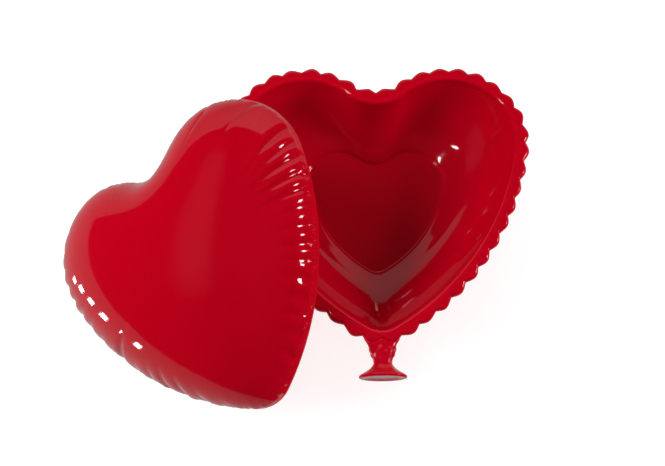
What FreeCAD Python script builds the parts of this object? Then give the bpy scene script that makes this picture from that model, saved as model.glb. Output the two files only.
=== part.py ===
"""Heart-shaped ceramic music box, like a foil balloon, with its wind-up movement under the floor.

Millimetres, +Z up. The origin is on the table, under the centroid of the heart. The tip of the heart and the
balloon's neck point along -Y. The lid is off the dish: it leans on the left side of the rim.
"""
import FreeCAD, Part
import math
import os

V = FreeCAD.Vector
X_AXIS, Y_AXIS, Z_AXIS = V(1, 0, 0), V(0, 1, 0), V(0, 0, 1)

# ---------------------------------------------------------------- driving dimensions
# Heart outline of the dish's mouth, of tangent arcs. The lobe centres set its width, the tip its length.
lobe_x = 54.0           # lobe centre, from the middle plane
lobe_y = 35.0           # lobe centre, from the centroid
lobe_r = 49.5
side_r = 197.0
tip_y = -91.5           # centre of the tip's round, from the centroid
tip_r = 19.0
notch_r = 33.5

# Dish
rim_z = 78.0            # top face of the rim, above the table
rim_thick = 6.0
wall = 5.5              # ceramic wall
bowl_depth = 43.0
floor_scale = 0.505     # the flat floor is the mouth's heart at this scale
wall_steps = ((0.0, 1.0), (0.27, 0.945), (0.55, 0.84), (0.79, 0.695), (1.0, floor_scale))
scallops_per_side = 23
scallop_valley = 9.2    # rim's width at the bottom of a scallop
scallop_peak = 11.7     # rim's width at the top of a scallop

# Balloon neck at the tip of the rim
neck_root = (9.3, 3.9)  # half width and half height, so that the lid passes over it
neck_waist = (6.4, 5.0)
mouth_size = (17.0, 11.0)
neck_length = 25.5      # from the rim's tip to the neck's end face
neck_drop = 4.0         # from the rim's top to the neck's middle
neck_bite = 4.0         # the neck is let into the rim this far

# Lid
lid_overlap = 8.5       # the lid's edge stands this far outside the dish's mouth
lid_band = 4.0          # plain band around the lid's edge
lid_wall = 5.0
dome_height = 50.0
lip_gap = 2.0           # the locating lip is this far inside the mouth
lip_depth = 12.0
lip_wall = 4.5
lid_lean = 30.6
lid_turn = 27.0         # degrees the leaning lid is turned about the vertical
lid_x = -128.5
lid_y = -53.5
lid_z = 62.1

# Compartment under the floor, closed by a cover; the key turns in a recess under it
floor_thick = 5.0
key_recess = 11.0       # table to the cover's underside
cover_thick = 2.0
cover_gap = 0.5
ledge = 3.0             # ledge that the cover seats on
boss_r = 5.0
boss_places = ((-41.0, 18.0), (41.0, 18.0), (0.0, -41.0))
insert_r = 2.6
insert_length = 8.0
cover_screw_r = 1.5

# Movement: the barrel stands upright, the cylinder lies along X on the same line
axis_y = 5.0
barrel_x = -15.0
bedplate_x = (-31.0, 32.0)
bedplate_y = (-19.0, 25.0)
bedplate_thick = 1.5
bedplate_screw_places = ((-26.0, -14.0), (27.0, -14.0), (-3.0, 21.0))
bearing_gap = 0.05      # running clearance of every shaft in its hole
crown_teeth = 40
pinion_teeth = 16
crown_r = 13.3          # middle of the crown teeth
crown_width = 1.8
drum_r = 11.8
drum_wall = 0.6
drum_height = 9.5
arbor_r = 1.6
hub_r = 2.6
spring_thick = 0.3
spring_turns = 9
cylinder_x = 2.2        # the cylinder's inner end
cylinder_length = 20.0
cylinder_r = 6.0
cylinder_wall = 0.7
spindle_r = 1.0
comb_teeth = 18
comb_pitch = 1.05
comb_slot = 0.25
comb_thick = 1.0
pin_r = 0.2
pin_height = 0.8
pin_bite = 0.3          # how deep the pins are pressed in
pins_per_tooth = 4
tip_gap = 0.15          # comb tips to the pins' path
wheel_teeth = 36
leaf_teeth = 12
wheel_module = 0.35
wheel_thick = 1.2
worm_wheel_teeth = 15
worm_module = 0.5
worm_wheel_thick = 0.8
worm_r = 1.4            # pitch radius of the worm
fan_r = 3.0
pivot_r = 0.5
frame_thick = 1.2
key_span = 22.0
key_thick = 1.8
key_low = 1.5           # table to the key
key_grip = 2.5          # solid end of the key under the arbor
bedplate_screw_r = 1.1
comb_screw_r = 0.9
comb_screw_grip = 3.0
frame_screw_r = 0.8
comb_reach = 7.5        # length of the longest comb tooth
bridge_foot = 5.0
comb_screw_places = ((7.5, -15.0), (17.0, -15.0))
frame_screw_places = ((-15.0, 23.0), (-15.0, -14.5), (4.5, 16.0), (28.0, 5.2))

# ---------------------------------------------------------------- derived places
rim_mid = rim_z - rim_thick / 2
rim_tip = tip_y - tip_r - scallop_valley
neck_z = rim_z - neck_drop
floor_top = rim_z - bowl_depth
ceiling = floor_top - floor_thick
cover_top = key_recess + cover_thick
plate_top = cover_top + bedplate_thick
flange_z = plate_top + 0.6
crown_floor = flange_z + 1.0
crown_pitch_z = crown_floor + 0.7
crown_step = 2 * math.pi * crown_r / crown_teeth
pinion_r = pinion_teeth * crown_step / (2 * math.pi)
shaft_z = crown_pitch_z + pinion_r
drum_top = flange_z + drum_height
bearing_x = barrel_x + crown_r + crown_width / 2 + 0.5
wheel_x = cylinder_x + cylinder_length + 0.5
frame_x = wheel_x + wheel_thick + 0.6
worm_wheel_x = frame_x + frame_thick + 1.0
worm_x = worm_wheel_x + worm_wheel_thick / 2
far_frame_x = worm_wheel_x + worm_wheel_thick + 1.6
wheel_r = wheel_teeth * wheel_module / 2
leaf_r = leaf_teeth * wheel_module / 2
second_y = axis_y + wheel_r + leaf_r
worm_wheel_r = worm_wheel_teeth * worm_module / 2
worm_y = second_y + worm_wheel_r + worm_r
worm_lead = math.pi * worm_module
comb_z = shaft_z - comb_thick / 2
comb_y = axis_y - cylinder_r - pin_height - tip_gap
comb_x = cylinder_x + (cylinder_length - comb_teeth * comb_pitch) / 2
barrel_at = V(barrel_x, axis_y, 0)
shaft_at = V(0, axis_y, shaft_z)
second_at = V(0, second_y, shaft_z)
bridge_z = drum_top + 1.3
bridge_half = crown_r + crown_width / 2 + 0.6 + frame_thick
arm_z = ceiling - 1.8
fan_top = arm_z - 0.4
fan_z = fan_top - 1.6
worm_at = V(worm_x, worm_y, 0)


# ---------------------------------------------------------------- helpers
def cylinder(radius, low, high, at=V(0, 0, 0), axis=Z_AXIS):
    """Round bar along axis, from low to high along it, measured from the point at."""
    return Part.makeCylinder(radius, high - low, at + axis * low, axis)


def tube(outer, inner, low, high, at=V(0, 0, 0), axis=Z_AXIS):
    return cylinder(outer, low, high, at, axis).cut(cylinder(inner, low - 1, high + 1, at, axis))


def block(x, y, z):
    """Box from its three (low, high) pairs."""
    return Part.makeBox(x[1] - x[0], y[1] - y[0], z[1] - z[0], V(x[0], y[0], z[0]))


def fuse(shapes):
    return shapes[0].multiFuse(shapes[1:]).removeSplitter()


def arc(centre, radius, start, end, z):
    """Arc of less than half a turn about centre, between the directions of start and end."""
    a, b = (start - centre).normalize(), (end - centre).normalize()
    middle = (a + b).normalize()
    at = [centre + d * radius + V(0, 0, z) for d in (a, middle, b)]
    return Part.Arc(*at).toShape()


def heart_points(scale=1.0, grow=0.0):
    """Centres and radii of the heart's arcs, scaled about the centroid and then offset outwards by grow."""
    lobe, tip = V(lobe_x, lobe_y, 0) * scale, V(0, tip_y, 0) * scale
    reach_lobe, reach_tip = (side_r - lobe_r) * scale, (side_r - tip_r) * scale
    across = tip - lobe
    along = (across.Length ** 2 + reach_lobe ** 2 - reach_tip ** 2) / (2 * across.Length)
    off = math.sqrt(reach_lobe ** 2 - along ** 2)
    unit = V(across).normalize()
    side = lobe + unit * along + V(unit.y, -unit.x, 0) * off
    notch = V(0, lobe.y + math.sqrt(((lobe_r + notch_r) * scale) ** 2 - lobe.x ** 2), 0)
    return (lobe, lobe_r * scale + grow), (side, side_r * scale + grow), (tip, tip_r * scale + grow), \
           (notch, notch_r * scale - grow)


def heart_edges(scale=1.0, grow=0.0, z=0.0):
    """Edges in order, clockwise from the middle of the notch."""
    (lobe, r_lobe), (side, r_side), (tip, r_tip), (notch, r_notch) = heart_points(scale, grow)
    start = notch - Y_AXIS * r_notch
    join = notch + (lobe - notch).normalize() * r_notch
    turn = lobe + (lobe - side).normalize() * r_lobe
    end = tip + (tip - side).normalize() * r_tip
    half = [arc(notch, r_notch, start, join, z), arc(lobe, r_lobe, join, turn, z),
            arc(side, r_side, turn, end, z), arc(tip, r_tip, end, tip - Y_AXIS * r_tip, z)]
    return half + [edge.mirror(V(0, 0, 0), X_AXIS) for edge in reversed(half)]


def heart_wire(scale=1.0, grow=0.0, z=0.0):
    return Part.Wire(heart_edges(scale, grow, z))


def heart_prism(scale, grow, low, high):
    return Part.Face(heart_wire(scale, grow, low)).extrude(V(0, 0, high - low))


def heart_loft(sections):
    """Solid through (scale, grow, z) hearts."""
    return Part.makeLoft([heart_wire(*s) for s in sections], True, False)


# ---------------------------------------------------------------- dish
def scalloped_wire(z):
    """Rim's outer edge: arcs between valley points, over peaks, with a valley at the notch and at the tip."""
    halves = []
    for grow in (scallop_valley, scallop_peak):
        edges = heart_edges(1.0, grow, z)[:4]
        halves.append(Part.Wire(edges).discretize(Number=2 * scallops_per_side + 1))
    valleys, peaks = halves[0][::2], halves[1][1::2]
    half = [Part.Arc(valleys[i], peaks[i], valleys[i + 1]).toShape() for i in range(scallops_per_side)]
    return Part.Wire(half + [edge.mirror(V(0, 0, 0), X_AXIS) for edge in reversed(half)])


def oval(y, half_width, half_height):
    """Upright wire across the neck at y."""
    middle = V(0, y, neck_z)
    side = middle + X_AXIS * half_width
    return Part.Wire(Part.Ellipse(side, middle + Z_AXIS * half_height, middle).toShape())


def make_bowl():
    hollow = heart_loft([(scale, 0.0, rim_z - share * bowl_depth) for share, scale in wall_steps])
    foot_top = ceiling - 2.0
    drop = rim_mid - foot_top
    shell = heart_loft([(scale, wall, rim_mid - share * drop) for share, scale in wall_steps])
    foot = heart_prism(floor_scale, wall, 0.0, foot_top)
    rim = Part.Face(scalloped_wire(rim_z - rim_thick)).extrude(V(0, 0, rim_thick))
    room = heart_prism(floor_scale, -ledge, cover_top, ceiling)
    room = room.cut(Part.makeCompound([cylinder(boss_r, cover_top, ceiling, V(x, y, 0)) for x, y in boss_places]))
    recess = heart_prism(floor_scale, 0.0, 0.0, cover_top)
    holes = [cylinder(insert_r, cover_top, cover_top + insert_length, V(x, y, 0)) for x, y in boss_places]
    socket = Part.Face(oval(rim_tip + neck_bite, *neck_root)).extrude(V(0, -40.0, 0))
    body = shell.multiFuse([foot, rim])
    return body.cut([hollow, room, recess, *holes, socket]).removeSplitter()


def make_tail():
    """Neck and flared mouth, oval about an axis along -Y."""
    length = neck_length + neck_bite
    root_w, root_h = neck_root
    waist_w, waist_h = neck_waist
    mouth_w, mouth_h = mouth_size
    neck = [(0.0, root_w, root_h), (0.14, root_w * 0.98, root_h * 0.99), (0.36, root_w * 0.88, root_h * 1.15),
            (0.58, waist_w, waist_h), (0.7, waist_w * 1.15, waist_h * 1.1), (0.82, mouth_w * 0.63, mouth_h * 0.64),
            (0.9, mouth_w * 0.92, mouth_h * 0.9)]
    front = rim_tip + neck_bite
    flare = Part.makeLoft([oval(front - share * length, w, h) for share, w, h in neck], True, False)
    mouth = Part.Face(oval(front - 0.9 * length, mouth_w, mouth_h)).extrude(V(0, -0.1 * length, 0))
    mouth = mouth.makeFillet(0.03 * length, [edge for edge in mouth.Edges if edge.BoundBox.YLength < 0.01])
    return flare.fuse(mouth).removeSplitter()


# ---------------------------------------------------------------- lid
def make_lid():
    """The lid in its own frame, its edge on the plane z = 0."""
    steps = (0.0, 0.03, 0.09, 0.18, 0.3, 0.45, 0.62, 0.8, 0.93)
    high = dome_height - lid_band
    outer = heart_loft([(1.0 - s, lid_overlap * (1.0 - s), lid_band + high * math.sqrt(1 - (1 - s) ** 2))
                        for s in steps])
    band = heart_prism(1.0, lid_overlap, 0.0, lid_band)
    inset = -lip_gap - lip_wall
    hollow = heart_loft([(1.0 - s, inset * (1.0 - s), lid_band + (high - lid_wall) * math.sqrt(1 - (1 - s) ** 2))
                         for s in steps])
    lip = heart_prism(1.0, -lip_gap, -lip_depth, 0.0)
    bore = heart_prism(1.0, inset, -lip_depth, lid_band)
    return outer.multiFuse([band, lip]).cut([hollow, bore]).removeSplitter()


def lean(lid):
    """Turns, tilts and moves the lid from its own frame to where it leans on the rim."""
    lid = lid.copy()
    lid.rotate(V(0, 0, 0), Y_AXIS, -lid_lean)
    lid.rotate(V(0, 0, 0), Z_AXIS, lid_turn)
    lid.translate(V(lid_x, lid_y, lid_z))
    return lid


# ---------------------------------------------------------------- cover and its fasteners
def screws(places, shank_r, low, high, head_r, head, slot_up):
    """Slotted cheese-head screws; the head is above high, or under low when slot_up is false."""
    made = []
    for x, y in places:
        base, top = (high, high + head) if slot_up else (low - head, low)
        slot_z = (top - head / 2, top) if slot_up else (base, base + head / 2)
        cap = cylinder(head_r, base, top, V(x, y, 0))
        slot = block((x - head_r, x + head_r), (y - head_r * 0.15, y + head_r * 0.15), slot_z)
        made.append(cap.cut(slot).fuse(cylinder(shank_r, low, high, V(x, y, 0))).removeSplitter())
    return Part.makeCompound(made)


def drilled(body, places, radius, low, high):
    return body.cut([cylinder(radius, low, high, V(x, y, 0)) for x, y in places])


def make_cover():
    cover = heart_prism(floor_scale, -cover_gap, key_recess, cover_top)
    cover = drilled(cover, boss_places, cover_screw_r, key_recess, cover_top)
    cover = drilled(cover, bedplate_screw_places, bedplate_screw_r, key_recess, cover_top)
    return cover.cut(cylinder(arbor_r + 0.6, key_recess, cover_top, barrel_at))


def make_inserts():
    return Part.makeCompound([tube(insert_r, cover_screw_r, cover_top, cover_top + insert_length, V(x, y, 0))
                              for x, y in boss_places])


# ---------------------------------------------------------------- bedplate and what is screwed to it
def make_bedplate():
    plate = block(bedplate_x, bedplate_y, (cover_top, plate_top))
    bed = block((comb_x - 1.5, comb_x + comb_teeth * comb_pitch + 1.5), (bedplate_y[0], comb_y - comb_reach),
                (plate_top, comb_z))
    body = plate.fuse(bed).removeSplitter()
    body = drilled(body, bedplate_screw_places, bedplate_screw_r, cover_top, plate_top)
    body = drilled(body, comb_screw_places, comb_screw_r, comb_z - comb_screw_grip, comb_z)
    body = drilled(body, frame_screw_places, frame_screw_r, cover_top, plate_top)
    return body.cut(cylinder(arbor_r + bearing_gap, cover_top, plate_top, barrel_at))


def make_bridge():
    """Bridge over the barrel that holds the top of the winding arbor."""
    top = bridge_z + frame_thick
    beam = block((barrel_x - 3.5, barrel_x + 3.5), (axis_y - bridge_half, axis_y + bridge_half), (bridge_z, top))
    parts = [beam]
    for side in (-1, 1):
        leg = sorted((axis_y + side * bridge_half, axis_y + side * (bridge_half - frame_thick)))
        foot = sorted((axis_y + side * bridge_half, axis_y + side * (bridge_half + bridge_foot)))
        if side > 0:
            foot = sorted((axis_y + bridge_half, bedplate_y[1]))
        parts.append(block((barrel_x - 3.5, barrel_x + 3.5), leg, (plate_top, top)))
        parts.append(block((barrel_x - 3.5, barrel_x + 3.5), foot, (plate_top, plate_top + frame_thick)))
    body = fuse(parts).cut(cylinder(arbor_r + bearing_gap, bridge_z, top, barrel_at))
    return drilled(body, frame_screw_places, frame_screw_r, plate_top, plate_top + frame_thick)


def make_bracket():
    """Inner bearing of the cylinder's spindle."""
    x = (bearing_x, bearing_x + frame_thick)
    upright = block(x, (axis_y - 3.0, axis_y + 11.0), (plate_top, shaft_z + 3.0))
    foot = block((bearing_x, bearing_x + 7.0), (axis_y + 8.5, axis_y + 13.5), (plate_top, plate_top + frame_thick))
    body = upright.fuse(foot).cut(cylinder(spindle_r + bearing_gap, bearing_x, x[1], shaft_at, X_AXIS))
    return drilled(body, frame_screw_places, frame_screw_r, plate_top, plate_top + frame_thick).removeSplitter()


def make_governor_frame():
    near, far = (frame_x, frame_x + frame_thick), (far_frame_x, far_frame_x + frame_thick)
    edge = worm_y - fan_r - 0.4
    foot = block((near[0], far[1]), (axis_y - 3.0, bedplate_y[1]), (plate_top, plate_top + frame_thick))
    post = block((worm_x - 1.5, worm_x + 1.5), (worm_y + fan_r + 0.5, bedplate_y[1]), (plate_top, arm_z + 1.0))
    arm = block((worm_x - 1.5, worm_x + 1.5), (worm_y - 1.5, bedplate_y[1]), (arm_z, arm_z + 1.0))
    plates = [block(near, (axis_y - 3.0, edge), (plate_top, shaft_z + 3.0)),
              block(far, (second_y - 4.0, edge), (plate_top, shaft_z + 3.0))]
    body = fuse([foot, post, arm, *plates])
    holes = [cylinder(spindle_r + bearing_gap, near[0], near[1], shaft_at, X_AXIS),
             cylinder(pivot_r + bearing_gap, near[0], far[1], second_at, X_AXIS),
             cylinder(pivot_r + bearing_gap, plate_top, arm_z + 1.0, worm_at)]
    body = body.cut(holes)
    return drilled(body, frame_screw_places, frame_screw_r, plate_top, plate_top + frame_thick).removeSplitter()


def make_comb():
    """Steel comb: a plate with tuned teeth that shorten from bass to treble."""
    width = comb_teeth * comb_pitch
    z = (comb_z, comb_z + comb_thick)
    plate = block((comb_x, comb_x + width), (bedplate_y[0], comb_y), z)
    slots = []
    for i in range(comb_teeth + 1):
        shorter = comb_reach - 0.2 * i * comb_reach / comb_teeth
        x = comb_x + i * comb_pitch
        slots.append(block((x - comb_slot / 2, x + comb_slot / 2), (comb_y - shorter, comb_y), z))
    return drilled(plate.cut(slots), comb_screw_places, comb_screw_r, *z)


# ---------------------------------------------------------------- winding and barrel
def make_arbor():
    foot_z = key_low + key_grip
    hub = cylinder(hub_r, crown_floor + 0.3, drum_top - 1.3, barrel_at)
    return cylinder(arbor_r, foot_z, bridge_z + frame_thick, barrel_at).fuse(hub).removeSplitter()


def make_clip():
    return tube(arbor_r + 1.5, arbor_r, drum_top + 0.3, drum_top + 0.9, barrel_at)


def make_key():
    """Flat butterfly key: hub with a blind socket for the arbor, and two rounded wings."""
    top = key_recess - 1.5
    hub = cylinder(hub_r + 1.0, key_low, top, barrel_at)
    half = (top - key_low) / 2
    wing = [cylinder(half, -key_thick / 2, key_thick / 2,
                     V(barrel_x + side * (key_span / 2 - half), axis_y, key_low + half), Y_AXIS) for side in (-1, 1)]
    web = block((barrel_x - key_span / 2 + half, barrel_x + key_span / 2 - half),
                (axis_y - key_thick / 2, axis_y + key_thick / 2), (key_low + half * 0.6, key_low + half * 1.4))
    return fuse([hub, web, *wing]).cut(cylinder(arbor_r, key_low + key_grip, top, barrel_at))


def make_drum():
    """Spring drum with its crown gear, whose teeth point up around the drum."""
    flange = cylinder(crown_r + crown_width / 2, flange_z, crown_floor, barrel_at)
    drum = tube(drum_r, drum_r - drum_wall, crown_floor, drum_top, barrel_at)
    teeth = []
    for i in range(crown_teeth):
        tooth = crown_tooth()
        tooth.rotate(V(0, 0, 0), Z_AXIS, 360.0 * (i + 0.5) / crown_teeth)
        tooth.translate(barrel_at)
        teeth.append(tooth)
    return flange.multiFuse([drum, *teeth]).cut(cylinder(arbor_r + bearing_gap, flange_z, crown_floor, barrel_at))


def crown_tooth():
    """Tooth along +X with straight flanks, narrower at its tip."""
    root, tip = 0.27 * crown_step, 0.13 * crown_step
    low, high = crown_floor, crown_pitch_z + 0.5
    points = [V(crown_r - crown_width / 2, y, z) for y, z in ((-root, low), (root, low), (tip, high), (-tip, high))]
    return Part.Face(Part.makePolygon([*points, points[0]])).extrude(V(crown_width, 0, 0))


def make_cap():
    return tube(drum_r - drum_wall, arbor_r + bearing_gap, drum_top - 0.8, drum_top, barrel_at)


def make_mainspring():
    """Spiral strip; its last quarter turn lies against the drum's wall."""
    first, last = hub_r + 0.6, drum_r - drum_wall
    def edge(inset):
        points = []
        for i in range(spring_turns * 16 + 1):
            turn = i / 16
            radius = first + (last - spring_thick - first) * turn / spring_turns + spring_thick - inset
            angle = 2 * math.pi * turn
            points.append(V(radius * math.cos(angle), radius * math.sin(angle), crown_floor + 0.3))
        curve = Part.BSplineCurve()
        curve.interpolate(points)
        return curve, points
    outer, outer_points = edge(0.0)
    inner, inner_points = edge(spring_thick)
    ends = [Part.LineSegment(inner_points[0], outer_points[0]), Part.LineSegment(outer_points[-1], inner_points[-1])]
    face = Part.Face(Part.Wire([outer.toShape(), ends[1].toShape(), inner.toShape(), ends[0].toShape()]))
    strip = face.extrude(V(0, 0, drum_top - 1.1 - crown_floor - 0.3))
    quarter = tube(last, last - spring_thick, crown_floor + 0.3, drum_top - 1.1)
    keep = block((0, last), (0, last), (crown_floor, drum_top))
    strip = strip.fuse(quarter.common(keep)).removeSplitter()
    strip.translate(barrel_at)
    return strip


# ---------------------------------------------------------------- cylinder
def gear(teeth, module, low, high, at, bore, turn=0.0, slim=0.42):
    """Spur gear about X from low to high, its first tooth toward +Y and then turned by turn of a tooth pitch."""
    pitch_r = teeth * module / 2
    root_r, tip_r_ = pitch_r - 1.0 * module, pitch_r + 0.85 * module
    half = slim * math.pi * module / 2
    points = []
    for i in range(teeth):
        middle = 2 * math.pi * (i + turn) / teeth
        for radius, off in ((root_r, -1.5 * half), (pitch_r, -half), (tip_r_, -0.45 * half),
                            (tip_r_, 0.45 * half), (pitch_r, half), (root_r, 1.5 * half)):
            angle = middle + off / radius
            points.append(at + V(low, radius * math.cos(angle), radius * math.sin(angle)))
    wheel = Part.Face(Part.makePolygon([*points, points[0]])).extrude(X_AXIS * (high - low))
    return wheel.cut(cylinder(bore, low, high, at, X_AXIS))


def make_sleeve():
    return tube(cylinder_r, cylinder_r - cylinder_wall, cylinder_x, cylinder_x + cylinder_length, shaft_at, X_AXIS)


def make_ends():
    return Part.makeCompound([tube(cylinder_r - cylinder_wall, spindle_r, x, x + 1.2, shaft_at, X_AXIS)
                              for x in (cylinder_x, cylinder_x + cylinder_length - 1.2)])


def make_pins():
    """Music pins, pressed into the cylinder, their places spread by the golden angle."""
    pins = []
    for i in range(comb_teeth):
        for j in range(pins_per_tooth):
            angle = math.radians(137.5 * i + 360.0 * j / pins_per_tooth + 23.0 * (i * j % 3))
            out = V(0, math.cos(angle), math.sin(angle))
            at = shaft_at + V(comb_x + (i + 0.5) * comb_pitch, 0, 0)
            pins.append(cylinder(pin_r, cylinder_r - pin_bite, cylinder_r + pin_height, at, out))
    return Part.makeCompound(pins)


def make_spindle():
    return cylinder(spindle_r, bearing_x - 0.5 - crown_width, frame_x + frame_thick + 0.5, shaft_at, X_AXIS)


def make_pinion():
    module = crown_step / math.pi
    return gear(pinion_teeth, module, bearing_x - 0.5 - crown_width, bearing_x - 0.5, shaft_at, spindle_r, 0.0, 0.38)


def make_wheel():
    return gear(wheel_teeth, wheel_module, wheel_x, wheel_x + wheel_thick, shaft_at, spindle_r, 0.5)


# ---------------------------------------------------------------- governor
def make_second_arbor():
    arbor = cylinder(pivot_r, wheel_x - 0.3, far_frame_x + frame_thick, second_at, X_AXIS)
    return arbor


def make_leaf():
    return gear(leaf_teeth, wheel_module, wheel_x, wheel_x + wheel_thick, second_at, pivot_r)


def make_worm_wheel():
    return gear(worm_wheel_teeth, worm_module, worm_wheel_x, worm_wheel_x + worm_wheel_thick, second_at, pivot_r,
                0.5, 0.36)


def make_worm():
    """Worm shaft: pivots at both ends and one helical thread at the worm wheel."""
    core = worm_r - 0.95 * worm_module
    shaft = cylinder(pivot_r, plate_top + 0.3, arm_z + 1.0, worm_at)
    body = cylinder(core, shaft_z - 2.3 * worm_lead, shaft_z + 2.3 * worm_lead, worm_at)
    height = 4 * worm_lead
    helix = Part.makeHelix(worm_lead, height, core)
    root, crest = 0.27 * worm_lead, 0.12 * worm_lead
    outer = worm_r + 0.6 * worm_module
    points = [V(core - 0.1, 0, -root), V(outer, 0, -crest), V(outer, 0, crest), V(core - 0.1, 0, root)]
    thread = Part.Wire(helix).makePipeShell([Part.makePolygon([*points, points[0]])], True, True)
    # The thread passes the worm wheel on its -Y side at the wheel's own height.
    thread.rotate(V(0, 0, 0), Z_AXIS, -90)
    thread.translate(worm_at + V(0, 0, shaft_z - height / 2))
    return shaft.multiFuse([body, thread])


def make_fan():
    low = fan_z
    hub = tube(1.1, pivot_r, low, fan_top, worm_at)
    blades = [block((worm_x + 0.9, worm_x + fan_r), (worm_y - 0.2, worm_y + 0.2), (low, fan_top)),
              block((worm_x - fan_r, worm_x - 0.9), (worm_y - 0.2, worm_y + 0.2), (low, fan_top))]
    return fuse([hub, *blades])


# ---------------------------------------------------------------- write every piece
PIECES = {
    "base_bowl": make_bowl(),
    "balloon_tail": make_tail(),
    "lid_shell": lean(make_lid()),
    "bottom_cover": make_cover(),
    "cover_screws": screws(boss_places, cover_screw_r, key_recess, cover_top + 6.0, 2.8, 1.5, False),
    "threaded_inserts": make_inserts(),
    "bedplate": make_bedplate(),
    "bedplate_screws": screws(bedplate_screw_places, bedplate_screw_r, key_recess, plate_top, 2.2, 1.4, False),
    "barrel_bridge": make_bridge(),
    "cylinder_bracket": make_bracket(),
    "governor_frame": make_governor_frame(),
    "frame_screws": screws(frame_screw_places, frame_screw_r, cover_top + 0.2, plate_top + frame_thick, 1.5, 0.9, True),
    "comb": make_comb(),
    "comb_screws": screws(comb_screw_places, comb_screw_r, comb_z - comb_screw_grip, comb_z + comb_thick, 1.9, 1.2,
                          True),
    "winding_arbor": make_arbor(),
    "arbor_clip": make_clip(),
    "winding_key": make_key(),
    "barrel_drum": make_drum(),
    "barrel_cap": make_cap(),
    "mainspring": make_mainspring(),
    "cylinder_sleeve": make_sleeve(),
    "cylinder_ends": make_ends(),
    "cylinder_pins": make_pins(),
    "cylinder_spindle": make_spindle(),
    "cylinder_pinion": make_pinion(),
    "cylinder_wheel": make_wheel(),
    "second_arbor": make_second_arbor(),
    "second_leaf": make_leaf(),
    "worm_wheel": make_worm_wheel(),
    "worm_shaft": make_worm(),
    "fan": make_fan(),
}
os.makedirs("parts", exist_ok=True)
for name, shape in PIECES.items():
    shape.exportStep(f"parts/{name}.step")
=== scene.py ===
import math

import bpy
import numpy as np
from mathutils import Matrix, Vector


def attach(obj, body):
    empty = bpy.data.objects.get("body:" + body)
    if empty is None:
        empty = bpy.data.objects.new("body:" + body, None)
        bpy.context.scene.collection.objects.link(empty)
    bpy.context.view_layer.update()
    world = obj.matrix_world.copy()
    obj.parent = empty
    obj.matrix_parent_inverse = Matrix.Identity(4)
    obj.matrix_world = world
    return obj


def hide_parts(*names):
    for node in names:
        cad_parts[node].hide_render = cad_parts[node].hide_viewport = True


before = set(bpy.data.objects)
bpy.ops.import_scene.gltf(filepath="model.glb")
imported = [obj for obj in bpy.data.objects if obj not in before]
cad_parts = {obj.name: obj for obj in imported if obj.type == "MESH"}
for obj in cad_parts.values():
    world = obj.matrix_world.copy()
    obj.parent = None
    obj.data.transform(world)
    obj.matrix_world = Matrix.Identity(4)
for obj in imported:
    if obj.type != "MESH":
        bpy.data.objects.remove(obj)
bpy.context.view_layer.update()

MM = 0.001

# ================================================================ the studio
# A sheet of white paper under the box; one soft light overhead and two at the sides for the paper and the
# colour of the glaze; and small lamps at the sides and above the left, which with the pale back of the
# room are what the glaze mirrors. The camera looks steeply down.
PAPER_SIZE, WALL_HEIGHT = 24.0, 9.0
PAPER_GLOW = 0.68
AIR_DARK, AIR_LOW, AIR_HIGH, AIR_UNDER = 0.006, 0.17, 0.34, 0.30
CAMERA_AZIMUTH, CAMERA_ELEVATION, CAMERA_ROLL = math.radians(-1.3), math.radians(71.0), math.radians(0.72)
CAMERA_TARGET = Vector((-34.2, -38.5, 78.0)) * MM
CAMERA_DISTANCE = 799.5 * MM
CAMERA_LENS = 59.55
CAMERA_SENSOR = 36.0


class Wire:
    """A shader socket; arithmetic on it adds Math nodes."""

    def __init__(self, finish, socket):
        self.finish, self.socket = finish, socket

    def sum_with(self, operation, first, second):
        return self.finish.node("ShaderNodeMath", {"operation": operation}, {0: first, 1: second})

    def __add__(self, other):
        return self.sum_with("ADD", self, other)

    def __radd__(self, other):
        return self.sum_with("ADD", other, self)

    def __sub__(self, other):
        return self.sum_with("SUBTRACT", self, other)

    def __rsub__(self, other):
        return self.sum_with("SUBTRACT", other, self)

    def __mul__(self, other):
        return self.sum_with("MULTIPLY", self, other)

    def __rmul__(self, other):
        return self.sum_with("MULTIPLY", other, self)


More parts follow.
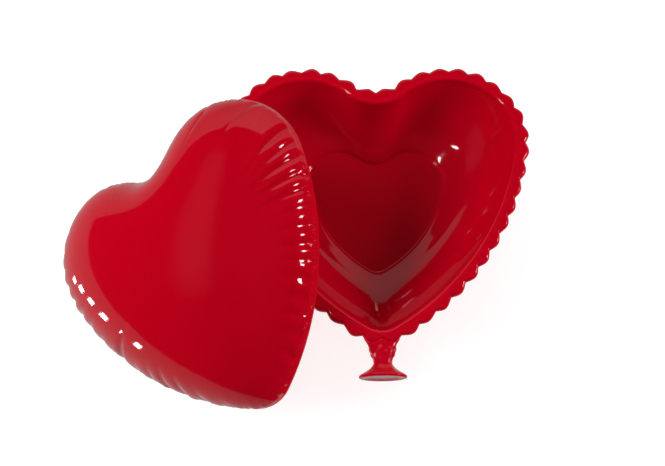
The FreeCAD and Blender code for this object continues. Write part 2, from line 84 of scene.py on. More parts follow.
class Finish:
    """A material under construction: one Principled shader and the nodes that feed it."""

    def __init__(self, name):
        self.material = bpy.data.materials.new(name)
        self.material.use_nodes = True
        self.tree = self.material.node_tree
        self.shader = next(n for n in self.tree.nodes if n.type == "BSDF_PRINCIPLED")

    def node(self, kind, settings, sockets, output=0):
        """Adds a node: its settings first, then a value or a Wire for each socket. Returns its output's
        Wire."""
        node = self.tree.nodes.new(kind)
        for key, value in settings.items():
            if key == "stops":
                self.set_stops(node.color_ramp, value)
            else:
                setattr(node, key, value)
        for key, value in sockets.items():
            self.feed(node.inputs[key], value)
        return Wire(self, node.outputs[output])

    def set_stops(self, ramp, stops):
        while len(ramp.elements) < len(stops):
            ramp.elements.new(0.5)
        for element, (place, shade) in zip(ramp.elements, stops):
            element.position = place
            element.color = (shade, shade, shade, 1.0)

    def feed(self, socket, value):
        if isinstance(value, Wire):
            self.tree.links.new(value.socket, socket)
        elif socket.type == "RGBA":
            socket.default_value = (*value, 1.0) if len(value) == 3 else value
        else:
            socket.default_value = value

    def place(self):
        return self.node("ShaderNodeTexCoord", {}, {}, "Object")

    def noise(self, scale, detail=2.0, roughness=0.5, stretch=None):
        """Noise in the object's own metres, 0 to 1; scale is features per metre."""
        where = self.place()
        if stretch:
            where = self.node("ShaderNodeMapping", {}, {"Vector": where, "Scale": stretch})
        return self.node("ShaderNodeTexNoise", {},
                         {"Vector": where, "Scale": scale, "Detail": detail, "Roughness": roughness})

    def ramp(self, value, *stops):
        return self.node("ShaderNodeValToRGB", {"stops": stops}, {"Fac": value})

    def blend(self, factor, first, second):
        return self.node("ShaderNodeMix", {"data_type": "RGBA"}, {0: factor, 6: first, 7: second}, 2)

    def bump(self, height, depth, over=None):
        """Normal from a height of 0 to 1, depth in metres, on top of an earlier normal."""
        sockets = {"Height": height, "Distance": depth, "Strength": 1.0}
        if over:
            sockets["Normal"] = over
        return self.node("ShaderNodeBump", {}, sockets)

    def paint(self, **sockets):
        """Sets the shader's sockets, named with _ for a space, and returns the material."""
        for key, value in sockets.items():
            self.feed(self.shader.inputs[key.replace("_", " ")], value)
        return self.material


def mesh_piece(name, points, faces, materials, body, smooth=True):
    mesh = bpy.data.meshes.new(name)
    mesh.from_pydata([tuple(p) for p in points], [], [tuple(int(i) for i in f) for f in faces])
    mesh.validate()
    mesh.shade_smooth() if smooth else mesh.shade_flat()
    for material in materials:
        mesh.materials.append(material)
    piece = bpy.data.objects.new(name, mesh)
    bpy.context.scene.collection.objects.link(piece)
    if body:
        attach(piece, body)
    return piece


paper = Finish("paper")
paper_grain = paper.noise(90.0, 3.0)
paper.paint(Base_Color=paper.blend(paper_grain, (0.56, 0.56, 0.56), (0.6, 0.6, 0.6)), Roughness=0.85,
            Emission_Color=(1.0, 1.0, 1.0), Emission_Strength=PAPER_GLOW)
half = PAPER_SIZE / 2
table_top = mesh_piece("table_top",
                       [(-half, -half, 0), (half, -half, 0), (half, half, 0), (-half, half, 0)],
                       [(0, 1, 2, 3)], [paper.material], None)
table_top.visible_glossy = False

backdrop_finish = Finish("backdrop")
backdrop_finish.paint(Base_Color=backdrop_finish.blend(backdrop_finish.noise(0.3), (0.80, 0.80, 0.80),
                                                       (0.84, 0.84, 0.84)),
                      Roughness=0.9, Emission_Color=(1.0, 1.0, 1.0), Emission_Strength=PAPER_GLOW)
corners = [(-half, -half), (half, -half), (half, half), (-half, half)]
backdrop = mesh_piece("backdrop", [(x, y, z) for z in (0.0, WALL_HEIGHT) for x, y in corners],
                      [(i, (i + 1) % 4, (i + 1) % 4 + 4, i + 4) for i in range(4)],
                      [backdrop_finish.material], None, False)
backdrop.visible_glossy = backdrop.visible_diffuse = backdrop.visible_shadow = False

# What the glaze mirrors: a dark room, pale behind the table and below it, darker towards the right.
world = bpy.data.worlds.new("studio_air")
world.use_nodes = True
air = world.node_tree
air_place = air.nodes.new("ShaderNodeTexCoord")
air_split = air.nodes.new("ShaderNodeSeparateXYZ")
air.links.new(air_place.outputs["Generated"], air_split.inputs[0])


def air_maths(operation, first, second):
    node = air.nodes.new("ShaderNodeMath")
    node.operation = operation
    for socket, value in zip(node.inputs, (first, second)):
        if isinstance(value, float):
            socket.default_value = value
        else:
            air.links.new(value, socket)
    return node.outputs[0]


def share_of(axis, sign, slope):
    """Slope times how far a direction leans to that side of the room."""
    return air_maths("MULTIPLY", air_maths("MAXIMUM", air_maths("MULTIPLY", air_split.outputs[axis],
                                                                sign), 0.0), slope)


# How steeply the pale part rises towards the back, and how much the left and right sides take off it.
WALL_RISE, LEFT_CUT, RIGHT_CUT, WALL_DROP = 1.43, 0.55, 0.9, 0.1
back_reach = air_maths("MAXIMUM", air_maths("SUBTRACT", air_split.outputs["Y"],
                                            share_of("X", -1.0, LEFT_CUT)), 0.0)
wall_top = air_maths("SUBTRACT", air_maths("MULTIPLY", back_reach, WALL_RISE),
                     share_of("X", 1.0, RIGHT_CUT))
pale_top = air_maths("SUBTRACT", wall_top, WALL_DROP)
is_pale = air_maths("GREATER_THAN", air_maths("SUBTRACT", pale_top, air_split.outputs["Z"]), 0.0)
glow = air_maths("ADD", share_of("Z", 1.0, AIR_HIGH), share_of("Z", -1.0, AIR_UNDER))
pale_shade = air_maths("ADD", glow, AIR_LOW)
air_shade = air_maths("ADD", air_maths("MULTIPLY", is_pale, pale_shade), AIR_DARK)
air.links.new(air_shade, air.nodes["Background"].inputs["Color"])
bpy.context.scene.world = world
bpy.context.scene.view_settings.view_transform = "Standard"


def lamp(name, position, target, size, watts, mirrored=True):
    """Rectangular soft light. One that isn't mirrored lights the box but doesn't show in its glaze."""
    light = bpy.data.lights.new(name, "AREA")
    light.shape = "RECTANGLE"
    light.size, light.size_y = size
    light.energy = watts
    piece = bpy.data.objects.new(name, light)
    piece.location = position
    piece.rotation_euler = (Vector(target) - Vector(position)).to_track_quat("-Z", "Y").to_euler()
    piece.visible_glossy = mirrored
    piece.visible_diffuse = not mirrored
    piece.visible_camera = False
    bpy.context.scene.collection.objects.link(piece)
    return piece


BOX_MIDDLE = (-0.05, -0.03, 0.05)
lamp("overhead_light", (-0.1, -0.1, 1.7), BOX_MIDDLE, (1.8, 1.8), 6.5, mirrored=False)
lamp("left_key", (-1.20, 0.1, 1.02), BOX_MIDDLE, (1.3, 0.5), 20.0, mirrored=False)
lamp("right_key", (1.40, 0.05, 0.62), BOX_MIDDLE, (0.4, 0.4), 18.0, mirrored=False)
for number, place in enumerate(((-1.26, -0.02, -0.50), (-1.27, -0.12, -0.40), (-1.25, -0.24, -0.34),
                                (-1.20, -0.36, -0.30), (-1.15, -0.62, -0.24))):
    lamp(f"left_window_{number}", place, BOX_MIDDLE, (0.05, 0.10), 0.35)
lamp("right_window", (1.05, 0.02, 0.72), BOX_MIDDLE, (0.24, 0.22), 2.6)
dish_windows = [lamp("dish_window_low", (-0.62, -0.03, 1.20), BOX_MIDDLE, (0.05, 0.09), 0.6),
                lamp("dish_window_high", (-0.53, -0.03, 1.24), BOX_MIDDLE, (0.05, 0.09), 0.6)]
# These two stand where only the dish can see them.
dish_side = bpy.data.collections.new("dish_side")
for window in dish_windows:
    window.light_linking.receiver_collection = dish_side

camera_data = bpy.data.cameras.new("camera")
camera_data.lens, camera_data.sensor_width = CAMERA_LENS, CAMERA_SENSOR
camera = bpy.data.objects.new("camera", camera_data)
camera_back = Vector((math.sin(CAMERA_AZIMUTH) * math.cos(CAMERA_ELEVATION),
                      -math.cos(CAMERA_AZIMUTH) * math.cos(CAMERA_ELEVATION),
                      math.sin(CAMERA_ELEVATION)))
level_right = Vector((math.cos(CAMERA_AZIMUTH), math.sin(CAMERA_AZIMUTH), 0.0))
level_up = camera_back.cross(level_right)
camera_right = level_right * math.cos(CAMERA_ROLL) + level_up * math.sin(CAMERA_ROLL)
camera_up = level_up * math.cos(CAMERA_ROLL) - level_right * math.sin(CAMERA_ROLL)
camera.matrix_world = (Matrix.Translation(CAMERA_TARGET + camera_back * CAMERA_DISTANCE)
                       @ Matrix((camera_right, camera_up, camera_back)).transposed().to_4x4())
bpy.context.scene.collection.objects.link(camera)
bpy.context.scene.camera = camera

# ================================================================ the dish
# Slip-cast earthenware under a thick red glaze: a heart-shaped bowl with a flat floor, a wide rim
# crimped into scallops like the welded seam of a foil balloon, and a hollow heart-shaped foot whose rim
# is left unglazed.
LOBE_CENTRE = (54.0, 35.0)
LOBE_R, SIDE_R, TIP_R, NOTCH_R = 49.5, 197.0, 19.0, 33.5
TIP_Y = -91.5
SCALLOPS_PER_SIDE = 23
POINTS_PER_SCALLOP = 18
RIM_Z, RIM_THICK = 78.0, 6.0
FLOOR_Z, FLOOR_SCALE = 35.0, 0.505
WALL = 5.5
VALLEY, PEAK = 9.2, 11.7
SCALLOP_SEED = 23
WIDER_AT_NOTCH, NARROWER_AT_TIP = 2.2, 1.6
COVER_LEDGE_Z, CEILING_Z = 13.0, 30.0
LEDGE = 3.0


def heart_arcs():
    """Notch, lobe, side and tip arcs of the right half: (centre, radius, first angle, last angle,
    outward sign)."""
    lobe, tip = np.array(LOBE_CENTRE), np.array((0.0, TIP_Y))
    reach_lobe, reach_tip = SIDE_R - LOBE_R, SIDE_R - TIP_R
    across = tip - lobe
    gap = math.hypot(*across)
    along = (gap ** 2 + reach_lobe ** 2 - reach_tip ** 2) / (2 * gap)
    off = math.sqrt(reach_lobe ** 2 - along ** 2)
    unit = across / gap
    side = lobe + unit * along + np.array((unit[1], -unit[0])) * off
    notch = np.array((0.0, lobe[1] + math.sqrt((LOBE_R + NOTCH_R) ** 2 - lobe[0] ** 2)))

    def angle(v):
        return math.atan2(v[1], v[0])

    return [(notch, NOTCH_R, -math.pi / 2, angle(lobe - notch), -1.0),
            (lobe, LOBE_R, angle(notch - lobe), angle(lobe - side), 1.0),
            (side, SIDE_R, angle(lobe - side), angle(tip - side), 1.0),
            (tip, TIP_R, angle(tip - side), -math.pi / 2, 1.0)]


def heart_outline(count_per_half):
    """Points and outward normals round the mouth of the dish, evenly spaced where the scallops' valleys
    lie."""
    arcs = heart_arcs()
    lengths = [abs(last - first) * (radius + sign * VALLEY) for _, radius, first, last, sign in arcs]
    ends = np.cumsum([0.0, *lengths])
    points, normals = [], []
    for i in range(count_per_half + 1):
        at = ends[-1] * i / count_per_half
        k = min(int(np.searchsorted(ends, at, side="right")) - 1, 3)
        centre, radius, first, last, sign = arcs[k]
        turn = first + (last - first) * (at - ends[k]) / lengths[k]
        spoke = np.array((math.cos(turn), math.sin(turn)))
        points.append(centre + radius * spoke)
        normals.append(sign * spoke)
    right_p, right_n = np.array(points), np.array(normals)
    left_p, left_n = right_p[1:-1][::-1] * (-1, 1), right_n[1:-1][::-1] * (-1, 1)
    return np.concatenate([right_p, left_p]), np.concatenate([right_n, left_n]), ends[-1]


mouth, outward, half_length = heart_outline(SCALLOPS_PER_SIDE * POINTS_PER_SCALLOP)
around = len(mouth)
station = np.arange(around) / POINTS_PER_SCALLOP


def heart_ring(scale, grow, z):
    """Ring of points in millimetres: the mouth scaled about the heart's middle, then offset outwards by
    grow."""
    grow = np.broadcast_to(grow, around)[:, None]
    flat = mouth * scale + outward * grow
    return np.column_stack([flat, np.broadcast_to(z, around)])


def curve_through(points, steps):
    """Smooth curve through points, with that many steps in each span."""
    p = np.array(points, float)
    p = np.vstack([2 * p[0] - p[1], p, 2 * p[-1] - p[-2]])
    made = []
    for i in range(1, len(p) - 2):
        for t in np.arange(steps) / steps:
            a, b, c, d = p[i - 1:i + 3]
            made.append(0.5 * (2 * b + (c - a) * t + (2 * a - 5 * b + 4 * c - d) * t ** 2
                               + (3 * b - a - 3 * c + d) * t ** 3))
    return made + [p[-2]]


def skin_faces(rings):
    """Quads between successive rings and a fan over each end; the two fan centres follow the rings'
    points."""
    count, n = len(rings), len(rings[0])
    faces = []
    for r in range(count - 1):
        for i in range(n):
            j = (i + 1) % n
            faces.append((r * n + i, r * n + j, (r + 1) * n + j, (r + 1) * n + i))
    first, last = count * n, count * n + 1
    for i in range(n):
        j = (i + 1) % n
        faces.append((first, j, i))
        faces.append((last, (count - 1) * n + i, (count - 1) * n + j))
    return faces


def skin_points(rings):
    rings = [np.asarray(r) for r in rings]
    return np.concatenate([*rings, [rings[0].mean(axis=0)], [rings[-1].mean(axis=0)]])


def add_lightness(piece, values):
    """How light the red is at each point of the mesh, from 0, darkest, to 1, lightest."""
    layer = piece.data.attributes.new("glaze_thin", "FLOAT", "POINT")
    layer.data.foreach_set("value", np.clip(values, 0.0, 1.0).astype(np.float32))


def scallop_reach():
    """How far the rim stands out all round: a soft crimp for each scallop, no two alike, flattened by
    the glaze."""
    draw = np.random.default_rng(SCALLOP_SEED)
    height = draw.uniform(0.72, 1.0, 2 * SCALLOPS_PER_SIDE)
    skew = draw.uniform(-0.07, 0.07, 2 * SCALLOPS_PER_SIDE)
    which = station.astype(int) % (2 * SCALLOPS_PER_SIDE)
    share = station % 1.0
    share = share + skew[which] * np.sin(np.pi * share)
    wave = np.abs(2 * share - 1.0)
    bulge = (0.55 * (1 - wave ** 2.3) + 0.45 * (0.5 + 0.5 * np.cos(np.pi * wave))) * height[which]
    from_notch = np.minimum(station, 2 * SCALLOPS_PER_SIDE - station)
    at_notch = np.exp(-(from_notch / 0.9) ** 2)
    at_tip = np.exp(-((SCALLOPS_PER_SIDE - from_notch) / 0.75) ** 2)
    crimped = VALLEY - 0.9 + (PEAK - VALLEY + 0.9) * bulge
    return crimped + WIDER_AT_NOTCH * at_notch - NARROWER_AT_TIP * at_tip, bulge


reach, bulge = scallop_reach()
EDGE_R = RIM_THICK / 2
rim_middle = RIM_Z - EDGE_R
wall_curve = curve_through([(0.485, FLOOR_Z), (0.507, 35.5), (0.53, 37.2), (0.6, 40.1), (0.695, 44.0),
                            (0.84, 54.4),
                            (0.945, 66.4), (1.0, rim_middle)], 6)
outer_curve = curve_through([(0.99, 71.2), (0.945, 62.3), (0.84, 49.2), (0.695, 37.9), (0.53, 29.6),
                             (FLOOR_SCALE, 26.5)], 6)
dish_rings, dish_lightness, dish_bare = [], [], []


def dish_ring(scale, grow, z, lightness=0.3, bare=False):
    dish_rings.append(heart_ring(scale, grow, z))
    dish_lightness.append(np.broadcast_to(lightness, around))
    dish_bare.append(bare)


# The red is darkest on the floor, lighter up the inner wall and lightest on the rolled rim and the
# scallops' outer edges.
for scale in (0.02, 0.1, 0.2, 0.3, 0.38, 0.44):
    dish_ring(scale, 0.0, FLOOR_Z, 0.1)
for scale, z in wall_curve:
    dish_ring(scale, 0.0, z, 0.1 + 0.4 * (z - FLOOR_Z) / (RIM_Z - FLOOR_Z))
for turn in np.radians((15, 30, 45, 60, 75, 90)):
    dish_ring(1.0, EDGE_R * (1 - math.cos(turn)), rim_middle + EDGE_R * math.sin(turn), 0.9)
for share in (0.3, 0.6, 0.85):
    dish_ring(1.0, EDGE_R + (reach - 2 * EDGE_R) * share, RIM_Z - 0.35 * share ** 3 * (1 - bulge), 0.35)
for turn in np.radians((90, 70, 50, 30, 10, -10, -30, -50, -70, -90)):
    dish_ring(1.0, reach - EDGE_R + EDGE_R * math.cos(turn), rim_middle + EDGE_R * math.sin(turn),
              0.45 + 0.5 * bulge * max(math.cos(turn), 0))
for share in (0.5, 0.8):
    dish_ring(1.0, reach - EDGE_R + (WALL - reach + EDGE_R) * share, RIM_Z - RIM_THICK - 0.3 * share,
              0.3)
for scale, z in outer_curve:
    dish_ring(scale, WALL, z, 0.35)
for z in (20.0, 12.0, 5.0, 2.0):
    dish_ring(FLOOR_SCALE, WALL, z, 0.2 if z > 3 else 0.8)
FOOT_EDGE = 1.4
for turn in np.radians((0, 30, 60, 90)):
    dish_ring(FLOOR_SCALE, WALL - FOOT_EDGE + FOOT_EDGE * math.cos(turn),
              FOOT_EDGE - FOOT_EDGE * math.sin(turn), 1.0,
              turn > 0.8)
for turn in np.radians((90, 60, 30, 0)):
    dish_ring(FLOOR_SCALE, FOOT_EDGE - FOOT_EDGE * math.cos(turn),
              FOOT_EDGE - FOOT_EDGE * math.sin(turn), 1.0, True)
for z in (6.0, COVER_LEDGE_Z):
    dish_ring(FLOOR_SCALE, 0.0, z, 0.3, True)
dish_ring(FLOOR_SCALE, -LEDGE, COVER_LEDGE_Z, 0.3, True)
dish_ring(FLOOR_SCALE, -LEDGE, CEILING_Z, 0.3, True)
for scale in (0.35, 0.2, 0.02):
    dish_ring(scale, -LEDGE * scale / FLOOR_SCALE, CEILING_Z, 0.3, True)


def red_glaze(name):
    """Opaque red glaze fired to a high gloss, a deeper red at points given a low lightness and a brighter
    red at points given a high one, faintly rippled."""
    finish = Finish(name)
    lightness = finish.node("ShaderNodeAttribute", {"attribute_name": "glaze_thin"}, {}, "Fac")
    cloud = finish.noise(14.0, 3.0, 0.6)
    speckle = finish.ramp(finish.noise(900.0, 1.0), (0.28, 0.0), (0.34, 1.0))
    shade = finish.ramp(lightness * 0.8 + cloud * 0.35, (0.15, 0.0), (1.0, 1.0))
    body_colour = finish.blend(shade, (0.46, 0.0, 0.0095), (0.58, 0.0, 0.012))
    colour = finish.blend(speckle, (0.42, 0.0, 0.008), body_colour)
    ripple = finish.bump(finish.noise(55.0, 1.0, 0.4), 0.00016)
    peel = finish.bump(finish.noise(420.0, 2.0, 0.5), 0.000007, ripple)
    finish.paint(Base_Color=colour, Roughness=cloud * 0.05 + 0.045, Normal=peel, IOR=1.5,
                 Coat_Weight=0.6,
                 Coat_Roughness=0.03, Coat_IOR=1.45)
    return finish.material


glaze = red_glaze("red_glaze")

bisque = Finish("bare_earthenware")
clay_grain = bisque.noise(1600.0, 3.0, 0.7)
clay_cloud = bisque.noise(60.0, 2.0)
clay_colour = bisque.blend(clay_cloud, (0.70, 0.62, 0.53), (0.80, 0.74, 0.66))
bisque.paint(Base_Color=bisque.blend(clay_grain * 0.35, clay_colour, (0.52, 0.44, 0.36)), Roughness=0.9,
             Normal=bisque.bump(clay_grain, 0.00008))

dish = mesh_piece("dish", skin_points(dish_rings) * MM, skin_faces(dish_rings),
                  [glaze, bisque.material], "dish")
add_lightness(dish, np.concatenate([*dish_lightness, [0.1], [0.3]]))
for face in dish.data.polygons:
    ring = min(face.vertices[0] // around, len(dish_bare) - 1)
    face.material_index = int(dish_bare[ring] and face.index < (len(dish_rings) - 1) * around)
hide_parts("base_bowl")
dish_side.objects.link(dish)

# ================================================================ the balloon's neck
# A solid little spout luted to the tip of the rim while the clay was soft, pinched where a balloon
# would be tied and opening to a wide oval mouth. Shallow gathers run along it.
NECK_ROOT_Y, NECK_Z = -115.7, 74.0
NECK_LENGTH = 29.5
# Share of the length, half width and half height.
NECK_SHAPE = ((0.0, 12.8, 2.4), (0.06, 12.4, 2.8), (0.12, 11.3, 3.2), (0.2, 10.0, 3.7),
              (0.29, 9.5, 4.3),
              (0.4, 8.6, 4.9), (0.5, 7.2, 5.0), (0.59, 6.5, 5.0), (0.67, 7.1, 5.2), (0.76, 9.3, 6.2),
              (0.84, 12.6, 8.2), (0.9, 15.6, 10.1), (0.935, 16.8, 10.9), (0.965, 17.0, 11.0),
              (0.988, 16.5, 10.6),
              (0.996, 15.2, 9.7), (0.985, 12.6, 8.0), (0.965, 9.0, 5.6), (0.958, 4.0, 2.6),
              (0.958, 0.5, 0.3))
NECK_AROUND = 144
neck_turn = 2 * math.pi * np.arange(NECK_AROUND) / NECK_AROUND
gather_wave = np.cos(7 * neck_turn + 0.3) + 0.4 * np.cos(5 * neck_turn + 1.1)
neck_rings, neck_lightness = [], []
for share, half_width, half_height in curve_through(NECK_SHAPE, 5):
    gather = (0.5 * math.exp(-((share - 0.31) / 0.06) ** 2) + 0.6
              * math.exp(-((share - 0.45) / 0.055) ** 2)
              + 0.3 * math.exp(-((share - 0.58) / 0.06) ** 2) + 0.15
              * math.exp(-((share - 0.78) / 0.08) ** 2))
    swell = gather * gather_wave * (share < 0.95)
    neck_rings.append(np.column_stack([(half_width + swell) * np.cos(neck_turn),
                                       np.full(NECK_AROUND, NECK_ROOT_Y - share * NECK_LENGTH),
                                       NECK_Z + (half_height + swell) * np.sin(neck_turn)]))
    # The red is lighter on the crests of the gathers and round the wide mouth, darker between the
    # gathers.
    neck_lightness.append(0.35 + 0.3 * gather_wave * gather + 0.4 * (0.9 < share and half_width > 14))
neck = mesh_piece("balloon_neck", skin_points(neck_rings) * MM,
                  [face[::-1] for face in skin_faces(neck_rings)],
                  [red_glaze("red_glaze_neck")], "dish")
add_lightness(neck, np.concatenate([*neck_lightness, [0.3], [0.3]]))
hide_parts("balloon_tail")
dish_side.objects.link(neck)

# ================================================================ the lid
# Slip-cast like the dish and glazed all over: a puffed heart whose edge is gathered into puckers, as
# foil is where a balloon is welded, over a plain band. A lip inside the band drops into the mouth of
# the dish.
LID_TURN, LID_LEAN = math.radians(27.0), math.radians(30.6)
LID_CENTRE = np.array((-128.5, -53.5, 62.1))
LID_OVERLAP, LID_BAND = 8.5, 4.0
DOME_HEIGHT = 50.0
LIP_GAP, LIP_WALL, LIP_DEPTH = 2.0, 4.5, 12.0
LID_WALL = 5.0
CELL = 2.0
FILM_PASSES = 5000
FADE = 0.62            # share of its length over which a pucker fades out


def inflated_height(edge):
    """Height of a film blown up inside the edge, 0 to 1, as a function of x and y in millimetres."""
    x = np.arange(-124.0, 125.0, CELL)
    y = np.arange(-126.0, 108.0, CELL)
    gx, gy = np.meshgrid(x, y, indexing="ij")
    inside = np.zeros(gx.shape, bool)
    following = np.roll(edge, -1, axis=0)
    for (x0, y0), (x1, y1) in zip(edge, following):
        crosses = (y0 > gy) != (y1 > gy)
        if crosses.any():
            inside ^= crosses & (gx < (x1 - x0) * (gy - y0) / (y1 - y0 + 1e-12) + x0)
    film = np.zeros(gx.shape)
    weight = inside.astype(float)
    for _ in range(FILM_PASSES):
        around_sum = (np.roll(film, 1, 0) + np.roll(film, -1, 0) + np.roll(film, 1, 1) + np.roll(film,
                                                                                                 -1, 1))
        film = weight * (around_sum + 1.0) / 4
    film /= film.max()

    def height(px, py):
        fx, fy = (px - x[0]) / CELL, (py - y[0]) / CELL
        i, j = fx.astype(int), fy.astype(int)
        u, v = fx - i, fy - j
        return (film[i, j] * (1 - u) * (1 - v) + film[i + 1, j] * u * (1 - v)
                + film[i, j + 1] * (1 - u) * v + film[i + 1, j + 1] * u * v)

    return height


lid_edge = mouth + outward * LID_OVERLAP
film_height = inflated_height(lid_edge)
# Each pucker: side (1 right, -1 left), place along the edge in scallops from the notch, depth, half
# width and length in millimetres, how far in from the edge it starts, and how many scallops it drifts
# in that length.
PUCKERS = (
    (1, 0.2, 1.0, 4.5, 12, 0, 0), (1, 5.0, 1.2, 1.8, 24, 8, -0.5), (1, 7.4, 0.9, 2.2, 34, 0, -0.3),
    (1, 8.6, 0.5, 4.0, 16, 0, 0), (1, 9.5, 1.7, 3.4, 46, 0, 0.5), (1, 10.3, 1.5, 2.8, 42, 0, 0.45),
    (1, 11.05, 1.9, 3.2, 54, 0, 0.4), (1, 11.85, 1.7, 3.0, 48, 0, 0.35),
           (1, 12.6, 1.6, 3.1, 42, 0, 0.3),
    (1, 13.45, 0.9, 3.8, 26, 0, 0.2), (1, 14.3, 1.2, 4.2, 26, 0, 0.1), (1, 15.15, 1.2, 4.0, 26, 0, 0.1),
    (1, 15.9, 1.0, 3.6, 24, 0, 0), (1, 16.7, 1.2, 4.1, 25, 0, 0), (1, 17.6, 1.0, 4.0, 19, 0, 0),
    (1, 18.5, 1.2, 3.8, 16, 0, 0), (1, 19.35, 1.3, 3.6, 15, 0, 0), (1, 20.3, 1.2, 3.8, 14, 0, 0),
    (1, 21.4, 0.8, 4.0, 11, 0, 0),
    (-1, 2.2, 0.4, 4.5, 10, 0, 0), (-1, 6.3, 0.8, 3.4, 12, 0, 0), (-1, 7.4, 1.0, 3.4, 13, 0, 0),
    (-1, 8.4, 1.4, 3.3, 17, 0, 0), (-1, 9.3, 1.8, 3.2, 19, 0, 0), (-1, 10.15, 2.0, 3.1, 21, 0, 0),
    (-1, 11.0, 1.9, 3.2, 21, 0, 0), (-1, 11.9, 1.5, 3.4, 20, 0, 0), (-1, 12.9, 0.9, 3.8, 20, 0, 0),
    (-1, 14.4, 2.6, 3.4, 36, 0, 0), (-1, 15.5, 0.9, 3.6, 16, 0, 0), (-1, 16.5, 1.4, 3.4, 20, 0, 0),
    (-1, 17.4, 1.7, 3.4, 23, 0, 0), (-1, 18.4, 1.6, 3.5, 21, 0, 0), (-1, 19.5, 1.1, 3.6, 15, 0, 0),
    (-1, 20.8, 0.7, 3.8, 11, 0, 0))
SCALLOP_PITCH = half_length / SCALLOPS_PER_SIDE
FULL_TURN = 2.0 * SCALLOPS_PER_SIDE


def pucker_depth(inward):
    """How far the film is drawn in, in millimetres, all round at a distance inward from the edge."""
    depth = np.zeros(around)
    for side, place, deep, half_width, length, start, drift in PUCKERS:
        middle = (place if side > 0 else FULL_TURN - place) + side * drift * inward / length
        across = (station - middle + SCALLOPS_PER_SIDE) % FULL_TURN - SCALLOPS_PER_SIDE
        fold = np.exp(-(across * SCALLOP_PITCH / half_width) ** 2)
        past = np.clip(inward - start, 0, None)
        arrive = np.clip((inward - start + 1.2) / 4.5, 0, 1)
        depth += deep * fold * np.exp(-(past / (FADE * length)) ** 2.2) * arrive * arrive * (3 - 2
                                                                                             * arrive)
    return depth


dome_rings = []
ring_scales = np.concatenate([np.linspace(0.02, 0.6, 14),
                              1 - 0.4 * (1 - np.linspace(0, 1, 56)[1:]) ** 1.9])
for scale in ring_scales:
    flat = lid_edge * scale
    film = np.sqrt(np.clip(film_height(flat[:, 0], flat[:, 1]), 0, 1))
    dome_rings.append(np.column_stack([flat, LID_BAND + (DOME_HEIGHT - LID_BAND) * film]))
dome = np.array(dome_rings)
normal = np.cross(np.roll(dome, -1, axis=1) - np.roll(dome, 1, axis=1), np.gradient(dome, axis=0))
normal /= np.linalg.norm(normal, axis=2)[..., None] + 1e-12
normal *= np.sign(normal[..., 2].sum())
dome_lightness = []
for ring, pushed, edge_scale in zip(dome, normal, ring_scales):
    level = np.linalg.norm(ring[:, :2] - lid_edge, axis=1)
    climb = np.hypot(level, ring[:, 2] - LID_BAND)
    depth = pucker_depth(level + 0.12 * (ring[:, 2] - LID_BAND))
    seam = 0.4 * np.exp(-((climb - 1.8) / 1.7) ** 2)
    # The red is darker in the puckers' grooves and lighter within 6 mm of the edge.
    dome_lightness.append(0.42 - 0.22 * depth + 0.2 * (level < 6))
    ring -= pushed * (depth + seam)[:, None]
lid_rings = list(dome)
lid_lightness = list(dome_lightness)
lid_rings += [heart_ring(1.0, g, z) for g, z in ((LID_OVERLAP - 0.1, 4.2), (LID_OVERLAP + 0.25, 3.4),
                                                (LID_OVERLAP + 0.3, 2.2), (LID_OVERLAP + 0.1, 1.0),
                                                (LID_OVERLAP - 0.6, 0.25), (LID_OVERLAP - 1.6, 0.0),
                                                (LID_OVERLAP - 5.0, 0.0), (-LIP_GAP + 0.6, 0.0),
                                                 (-LIP_GAP, -0.7),
                                                (-LIP_GAP, -5.0), (-LIP_GAP, 2.0 - LIP_DEPTH),
                                                (-LIP_GAP - 0.5, 0.6 - LIP_DEPTH),
                                                 (-LIP_GAP - 1.6, -LIP_DEPTH),
                                                (1.6 - LIP_GAP - LIP_WALL, -LIP_DEPTH),
                                                (0.5 - LIP_GAP - LIP_WALL, 0.6 - LIP_DEPTH),
                                                (-LIP_GAP - LIP_WALL, 2.0 - LIP_DEPTH),
                                                 (-LIP_GAP - LIP_WALL, -4.0))]
# The red is lightest on the band's rounded outer edge and the lip's bottom edge, darkest under the lid.
lid_lightness += [np.full(around, t) for t in (0.4, 0.9, 0.8, 0.8, 0.9, 0.8, 0.3, 0.2, 0.3, 0.4, 0.7, 0.9,
                                          0.9, 0.9, 0.9,
                                          0.6, 0.3)]
for scale in (1.0, 0.99, 0.975, 0.95, 0.91, 0.86, 0.79, 0.7, 0.6, 0.48, 0.36, 0.24, 0.12, 0.02):
    outside = lid_edge * scale
    film = np.sqrt(np.clip(film_height(outside[:, 0], outside[:, 1]), 0, 1))
    z = LID_BAND + (DOME_HEIGHT - LID_BAND - LID_WALL) * film
    lid_rings.append(heart_ring(scale, -(LIP_GAP + LIP_WALL) * scale, z))
    lid_lightness.append(np.full(around, 0.2))


def leaning(points):
    """From the lid's own frame to where it leans on the rim, with its low edge on the table."""
    tilt, turn = Matrix.Rotation(-LID_LEAN, 3, "Y"), Matrix.Rotation(LID_TURN, 3, "Z")
    return points @ np.array(turn @ tilt).T + LID_CENTRE


lid_faces = [face[::-1] for face in skin_faces(lid_rings)]
lid = mesh_piece("lid", leaning(skin_points(lid_rings)) * MM, lid_faces, [red_glaze("red_glaze_lid")],
                 "lid")
add_lightness(lid, np.concatenate([*lid_lightness, [0.4], [0.2]]))
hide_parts("lid_shell")

# ================================================================ the bottom cover and its screws
# A flat moulding of black ABS with a fine spark-eroded texture, held up in the foot by three zinc-
# plated screws in brass inserts that are cemented into the clay. The winding key turns under it.
def finish_nodes(material, *names):
    for name in names:
        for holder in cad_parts[name].material_slots:
            holder.material = material


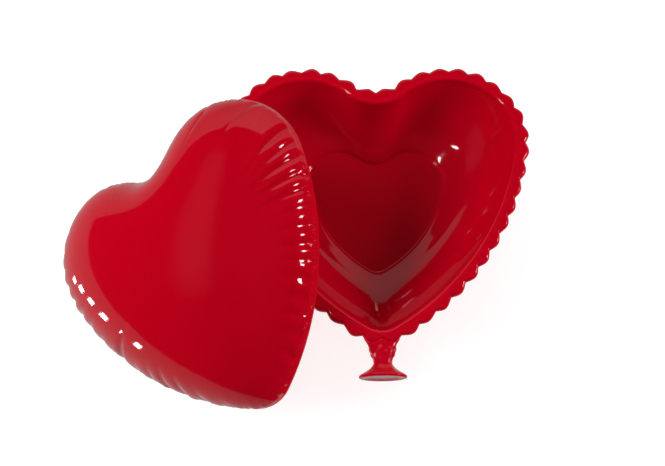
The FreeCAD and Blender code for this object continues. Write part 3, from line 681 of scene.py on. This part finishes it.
moulded = Finish("black_moulding")
spark = moulded.noise(2600.0, 2.0, 0.6)
flow = moulded.noise(18.0, 3.0, 0.6, (1.0, 3.0, 1.0))
rubbed = moulded.ramp(moulded.noise(45.0, 4.0, 0.7), (0.55, 0.0), (0.75, 1.0))
moulded.paint(Base_Color=moulded.blend(rubbed * 0.5 + flow * 0.3, (0.018, 0.018, 0.02),
                                       (0.05, 0.05, 0.053)),
              Roughness=spark * 0.15 + 0.42 - rubbed * 0.1, Normal=moulded.bump(spark, 0.00003))
finish_nodes(moulded.material, "bottom_cover")


def metal(name, dark, light, grain, rough, depth, haze=0.0):
    """Bare or plated metal: grain is the noise's scale along each axis, so a large number crosses the
    marks."""
    finish = Finish(name)
    marks = finish.noise(1.0, 3.0, 0.62, grain)
    stain = finish.noise(70.0, 3.0, 0.6)
    worn = finish.ramp(finish.noise(260.0, 3.0, 0.7), (0.5, 0.0), (0.72, 1.0))
    finish.paint(Base_Color=finish.blend(stain * 0.6 + marks * 0.4 - worn * haze, dark, light),
                 Metallic=1.0,
                 Roughness=marks * 0.16 + worn * 0.1 + rough, Normal=finish.bump(marks, depth))
    return finish.material


finish_nodes(metal("zinc_plate", (0.50, 0.51, 0.54), (0.72, 0.72, 0.70), (900.0, 900.0, 900.0), 0.22,
                   0.000006),
             "cover_screws", "bedplate_screws", "frame_screws", "comb_screws")
finish_nodes(metal("turned_brass", (0.62, 0.42, 0.15), (0.83, 0.64, 0.31), (300.0, 300.0, 9000.0), 0.2,
                   0.00001),
             "threaded_inserts")

# ================================================================ the bedplate and frames
# The bedplate is zinc, die-cast and tumbled. The bridge over the barrel and the brackets of the
# cylinder and the governor are pressed from steel strip and nickel plated. Screws from below and above
# hold them together.
finish_nodes(metal("cast_zinc", (0.44, 0.43, 0.40), (0.68, 0.67, 0.63), (420.0, 420.0, 420.0), 0.34,
                   0.00004, 0.2),
             "bedplate")
finish_nodes(metal("pressed_nickel", (0.56, 0.53, 0.46), (0.76, 0.73, 0.66), (160.0, 5200.0, 160.0),
                   0.2, 0.000006),
             "barrel_bridge", "cylinder_bracket", "governor_frame")

# ================================================================ the comb
# Hardened steel, ground flat across its teeth and cut with a slitting wheel; two screws clamp it to the
# bedplate.
finish_nodes(metal("ground_steel", (0.36, 0.38, 0.42), (0.66, 0.67, 0.69), (7000.0, 200.0, 200.0),
                   0.16, 0.000008, 0.2),
             "comb")

# ================================================================ the key and its arbor
# The arbor is turned steel with a spring clip over the bedplate. The key is a nickel-plated butterfly
# screwed on its end; fingers have dulled the plating on its wings.
finish_nodes(metal("turned_steel", (0.34, 0.34, 0.36), (0.62, 0.62, 0.64), (260.0, 260.0, 8000.0), 0.2,
                   0.000008),
             "winding_arbor")
finish_nodes(metal("blued_clip", (0.05, 0.06, 0.10), (0.16, 0.18, 0.26), (1800.0, 200.0, 200.0), 0.24,
                   0.000005),
             "arbor_clip")
key_finish = Finish("nickel_key")
fingered = key_finish.ramp(key_finish.noise(120.0, 4.0, 0.65), (0.42, 0.0), (0.66, 1.0))
hairline = key_finish.noise(1.0, 2.0, 0.6, (3800.0, 260.0, 600.0))
key_finish.paint(Base_Color=key_finish.blend(fingered, (0.82, 0.79, 0.73), (0.62, 0.58, 0.51)),
                 Metallic=1.0,
                 Roughness=fingered * 0.16 + hairline * 0.08 + 0.08,
                 Normal=key_finish.bump(hairline, 0.000004))
finish_nodes(key_finish.material, "winding_key")

# ================================================================ the barrel and mainspring
# A drum and cap pressed from steel and nickel plated. The mainspring inside is blued steel ribbon,
# faintly oiled.
finish_nodes(metal("drum_nickel", (0.58, 0.56, 0.50), (0.80, 0.77, 0.70), (240.0, 240.0, 5600.0), 0.17,
                   0.000006),
             "barrel_drum", "barrel_cap")
finish_nodes(metal("blued_spring", (0.03, 0.045, 0.11), (0.12, 0.14, 0.22), (300.0, 300.0, 6000.0),
                   0.2, 0.000005),
             "mainspring")

# ================================================================ the pinned cylinder
# Drawn brass tube over turned ends on a steel spindle; steel pins are pressed into it in rows for the
# comb's teeth. A brass wheel and pinion are staked on its ends.
finish_nodes(metal("drawn_brass", (0.60, 0.41, 0.15), (0.86, 0.68, 0.36), (8200.0, 130.0, 130.0), 0.16,
                   0.000009, 0.3),
             "cylinder_sleeve", "cylinder_ends")
finish_nodes(metal("pin_wire", (0.42, 0.43, 0.45), (0.70, 0.70, 0.72), (900.0, 900.0, 900.0), 0.18,
                   0.000003),
             "cylinder_pins", "cylinder_spindle", "second_arbor", "worm_shaft")
finish_nodes(metal("cut_brass", (0.56, 0.38, 0.13), (0.82, 0.62, 0.30), (5200.0, 420.0, 420.0), 0.22,
                   0.00001, 0.25),
             "cylinder_pinion", "cylinder_wheel", "second_leaf")

# ================================================================ the governor
# The worm wheel is natural nylon, milky and slightly waxy; the fan that brakes the train is black
# acetal pushed on the end of the steel worm shaft.
nylon = Finish("natural_nylon")
milk = nylon.noise(240.0, 3.0, 0.55)
nylon.paint(Base_Color=nylon.blend(milk, (0.72, 0.69, 0.60), (0.84, 0.82, 0.75)),
            Roughness=milk * 0.14 + 0.34,
            Normal=nylon.bump(nylon.noise(1900.0, 2.0), 0.000012), Subsurface_Weight=0.1)
finish_nodes(nylon.material, "worm_wheel")
acetal = Finish("black_acetal")
sheen = acetal.noise(500.0, 3.0, 0.6)
acetal.paint(Base_Color=acetal.blend(sheen, (0.02, 0.02, 0.022), (0.055, 0.055, 0.058)),
             Roughness=sheen * 0.2 + 0.28,
             Normal=acetal.bump(acetal.noise(2100.0, 2.0), 0.00001))
finish_nodes(acetal.material, "fan")
